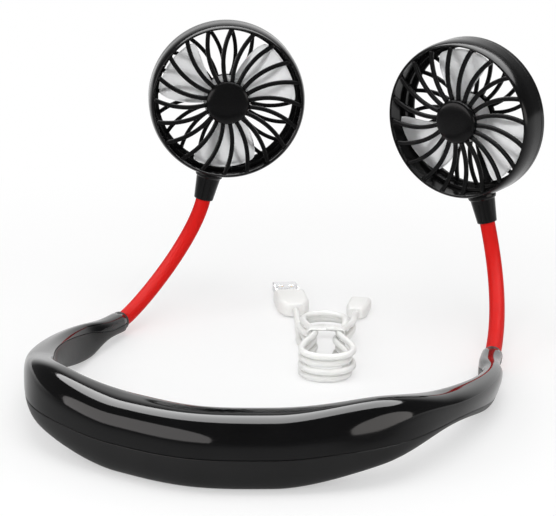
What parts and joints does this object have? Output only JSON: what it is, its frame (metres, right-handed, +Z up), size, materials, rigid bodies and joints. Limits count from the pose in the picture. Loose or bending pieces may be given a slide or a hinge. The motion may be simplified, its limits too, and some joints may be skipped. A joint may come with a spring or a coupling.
{
  "type": "neck fan",
  "caption": "Wearable neck fan: a U-shaped neckband with a caged fan head on a bendable gooseneck at each end, and a tied charging cable.",
  "frame": {"origin": "on the table, under the middle of the fan without its cable", "axes": "+Z up, +X to the right, +Y from the closed end of the neckband towards the fan heads"},
  "size_m": [0.199, 0.2698, 0.1415],
  "materials": {
    "gloss_black": "gloss",
    "satin_black": "satin",
    "black_head": "satin",
    "red_silicone": "gloss",
    "white_plastic": "satin",
    "cable_white": "satin",
    "steel": "brushed",
    "nickel": "bright",
    "bronze": "machined",
    "copper": "wound",
    "cell": "wrapped",
    "circuit_board": "satin",
    "foam": "matte",
    "clear_lens": "gloss",
    "lead": "satin"
  },
  "bodies": {
    "neckband": {"upper_shell": "gloss_black", "lower_shell": "satin_black", "left_collar": "satin_black", "right_collar": "satin_black", "battery_cells": "cell", "cell_cradles": "satin_black", "cell_pads": "foam", "battery_leads": "lead", "charge_board": "circuit_board", "charge_port": "nickel", "port_tongue": "satin_black", "switch_board": "circuit_board", "tact_switch": "nickel", "indicator_lens": "clear_lens", "shell_screws": "steel", "motor_leads": "lead", "left_sleeve": "red_silicone", "right_sleeve": "red_silicone", "cable_hank": "cable_white", "cable_tie": "cable_white", "cable_run_a": "cable_white", "cable_run_b": "cable_white", "usb_plug_body": "cable_white", "usb_plug_shell": "nickel", "micro_plug_body": "cable_white", "micro_plug_shell": "nickel"},
    "power_button": {"power_button": "satin_black"},
    "left_link_1": {"left_link_1": "steel"},
    "left_link_2": {"left_link_2": "steel"},
    "left_link_3": {"left_link_3": "steel"},
    "left_link_4": {"left_link_4": "steel"},
    "left_link_5": {"left_link_5": "steel"},
    "left_head": {"left_front_shell": "black_head", "left_hub_cap": "black_head", "left_rear_shell": "black_head", "left_stem": "black_head", "left_stator": "copper", "left_motor_board": "circuit_board", "left_bush": "bronze", "motor_screws_left": "steel"},
    "left_rotor": {"left_impeller": "white_plastic", "left_magnet": "steel", "left_shaft": "steel"},
    "right_link_1": {"right_link_1": "steel"},
    "right_link_2": {"right_link_2": "steel"},
    "right_link_3": {"right_link_3": "steel"},
    "right_link_4": {"right_link_4": "steel"},
    "right_link_5": {"right_link_5": "steel"},
    "right_head": {"right_front_shell": "black_head", "right_hub_cap": "black_head", "right_rear_shell": "black_head", "right_stem": "black_head", "right_stator": "copper", "right_motor_board": "circuit_board", "right_bush": "bronze", "motor_screws_right": "steel"},
    "right_rotor": {"right_impeller": "white_plastic", "right_magnet": "steel", "right_shaft": "steel"}
  },
  "joints": [
    {"name": "left_neck_bend_1", "type": "hinge", "parent": "neckband", "child": "left_link_1", "pos_m": [-0.08788, 0.04978, 0.00647], "axis": [0.9924, -0.1234, 0.0002], "range_deg": [-9, 9], "deforming": ["left_sleeve"]},
    {"name": "left_neck_sway_1", "type": "hinge", "parent": "left_link_1", "child": "left_link_2", "pos_m": [-0.08411, 0.06422, 0.01097], "axis": [0, 0.4457, -0.8952], "range_deg": [-14, 6], "deforming": ["left_sleeve"]},
    {"name": "left_neck_bend_2", "type": "hinge", "parent": "left_link_2", "child": "left_link_3", "pos_m": [-0.07931, 0.07701, 0.01871], "axis": [0.949, -0.2571, -0.1825], "range_deg": [-9, 9], "deforming": ["left_sleeve"]},
    {"name": "left_neck_sway_2", "type": "hinge", "parent": "left_link_3", "child": "left_link_4", "pos_m": [-0.07429, 0.08852, 0.02815], "axis": [0, 0.6889, -0.7249], "range_deg": [-14, 6], "deforming": ["left_sleeve"]},
    {"name": "left_neck_bend_3", "type": "hinge", "parent": "left_link_4", "child": "left_link_5", "pos_m": [-0.06929, 0.09829, 0.03936], "axis": [0.9506, -0.1764, -0.2554], "range_deg": [-9, 9], "deforming": ["left_sleeve"]},
    {"name": "left_neck_sway_3", "type": "hinge", "parent": "left_link_5", "child": "left_head", "pos_m": [-0.06487, 0.10428, 0.05305], "axis": [0, 0.9894, -0.1454], "range_deg": [-14, 6], "deforming": ["left_sleeve"]},
    {"name": "left_impeller_spin", "type": "hinge", "parent": "left_head", "child": "left_rotor", "pos_m": [-0.05, 0.0965, 0.1038], "axis": [0.342, -0.9397, -0.0087], "continuous": true},
    {"name": "right_neck_bend_1", "type": "hinge", "parent": "neckband", "child": "right_link_1", "pos_m": [0.08795, 0.04976, 0.00697], "axis": [0.9989, 0.0457, 0.011], "range_deg": [-9, 9], "deforming": ["right_sleeve"]},
    {"name": "right_neck_sway_1", "type": "hinge", "parent": "right_link_1", "child": "right_link_2", "pos_m": [0.08684, 0.06494, 0.01137], "axis": [0, 0.327, -0.945], "range_deg": [-6, 14], "deforming": ["right_sleeve"]},
    {"name": "right_neck_bend_2", "type": "hinge", "parent": "right_link_2", "child": "right_link_3", "pos_m": [0.08496, 0.07946, 0.01743], "axis": [0.9897, 0.1279, 0.0641], "range_deg": [-9, 9], "deforming": ["right_sleeve"]},
    {"name": "right_neck_sway_2", "type": "hinge", "parent": "right_link_3", "child": "right_link_4", "pos_m": [0.08228, 0.09272, 0.02566], "axis": [0, 0.6153, -0.7883], "range_deg": [-6, 14], "deforming": ["right_sleeve"]},
    {"name": "right_neck_bend_3", "type": "hinge", "parent": "right_link_4", "child": "right_link_5", "pos_m": [0.07878, 0.10331, 0.03683], "axis": [0.97, 0.1336, 0.2033], "range_deg": [-9, 9], "deforming": ["right_sleeve"]},
    {"name": "right_neck_sway_3", "type": "hinge", "parent": "right_link_5", "child": "right_head", "pos_m": [0.0748, 0.10849, 0.05112], "axis": [0, 0.9954, -0.0957], "range_deg": [-6, 14], "deforming": ["right_sleeve"]},
    {"name": "right_impeller_spin", "type": "hinge", "parent": "right_head", "child": "right_rotor", "pos_m": [0.0581, 0.0995, 0.1011], "axis": [-0.3417, -0.9388, -0.0436], "continuous": true},
    {"name": "power_button_press", "type": "slide", "parent": "neckband", "child": "power_button", "axis": [0.9472, -0.041, 0.318], "range_m": [0, 0.0005], "stiffness_N_per_m": 1200, "springref_m": -0.0006}
  ],
  "couplings": [
    {"joint": "left_neck_bend_2", "follows": "left_neck_bend_1", "ratio": 1},
    {"joint": "left_neck_bend_3", "follows": "left_neck_bend_1", "ratio": 1},
    {"joint": "left_neck_sway_2", "follows": "left_neck_sway_1", "ratio": 1},
    {"joint": "left_neck_sway_3", "follows": "left_neck_sway_1", "ratio": 1},
    {"joint": "right_neck_bend_2", "follows": "right_neck_bend_1", "ratio": 1},
    {"joint": "right_neck_bend_3", "follows": "right_neck_bend_1", "ratio": 1},
    {"joint": "right_neck_sway_2", "follows": "right_neck_sway_1", "ratio": 1},
    {"joint": "right_neck_sway_3", "follows": "right_neck_sway_1", "ratio": 1}
  ]
}
